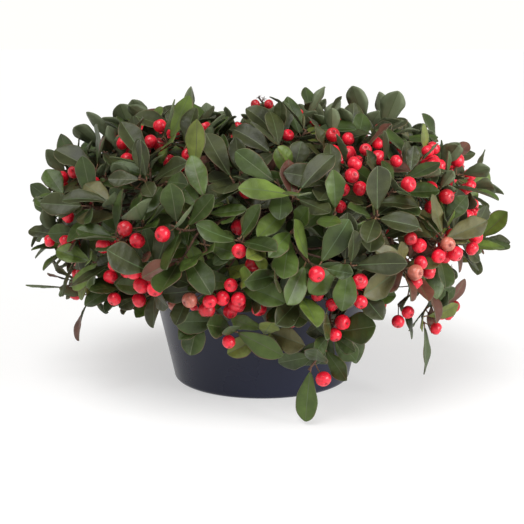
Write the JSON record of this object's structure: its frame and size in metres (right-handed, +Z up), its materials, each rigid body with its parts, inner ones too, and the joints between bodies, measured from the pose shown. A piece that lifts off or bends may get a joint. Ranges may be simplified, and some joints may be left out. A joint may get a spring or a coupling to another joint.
{
  "type": "potted wintergreen shrub",
  "caption": "Low, dense, rounded evergreen shrub with oval leaves and red berries that spills over the rim of a dark plastic bowl.",
  "frame": {"origin": "middle of the pot's flat underside", "axes": "+Z up along the pot's axis, -Y towards the front of the plant where its lowest spray hangs, +X to the right seen from there"},
  "size_m": [0.3873, 0.3725, 0.2344],
  "materials": {
    "pot_plastic": "satin dark anthracite, finely grained moulded plastic",
    "potting_mix": "rough, dark brown, crumbly",
    "bark": "matte reddish brown, finely wrinkled",
    "foliage": "leathery, semi-glossy above, paler and dull beneath",
    "berry": "smooth, semi-glossy, bright red skin"
  },
  "bodies": {
    "root": {"pot": "pot_plastic", "potting_mix": "potting_mix", "stem_top_front": "bark", "stem_top_right": "bark", "stem_top_left": "bark", "stem_1": "bark", "stem_2": "bark", "stem_3": "bark", "stem_4": "bark", "stem_5": "bark", "stem_6": "bark", "stem_7": "bark", "bough_1": "bark", "bough_2": "bark", "bough_3": "bark", "bough_4": "bark", "bough_5": "bark", "bough_6": "bark", "bough_7": "bark", "foliage_top_front": "foliage", "foliage_top_right": "foliage", "foliage_top_left": "foliage", "foliage_shoulder_1": "foliage", "foliage_shoulder_2": "foliage", "foliage_shoulder_3": "foliage", "foliage_shoulder_4": "foliage", "foliage_shoulder_5": "foliage", "foliage_shoulder_6": "foliage", "foliage_shoulder_7": "foliage", "foliage_skirt_1": "foliage", "foliage_skirt_2": "foliage", "foliage_skirt_3": "foliage", "foliage_skirt_4": "foliage", "foliage_skirt_5": "foliage", "foliage_skirt_6": "foliage", "foliage_skirt_7": "foliage"}
  },
  "joints": []
}
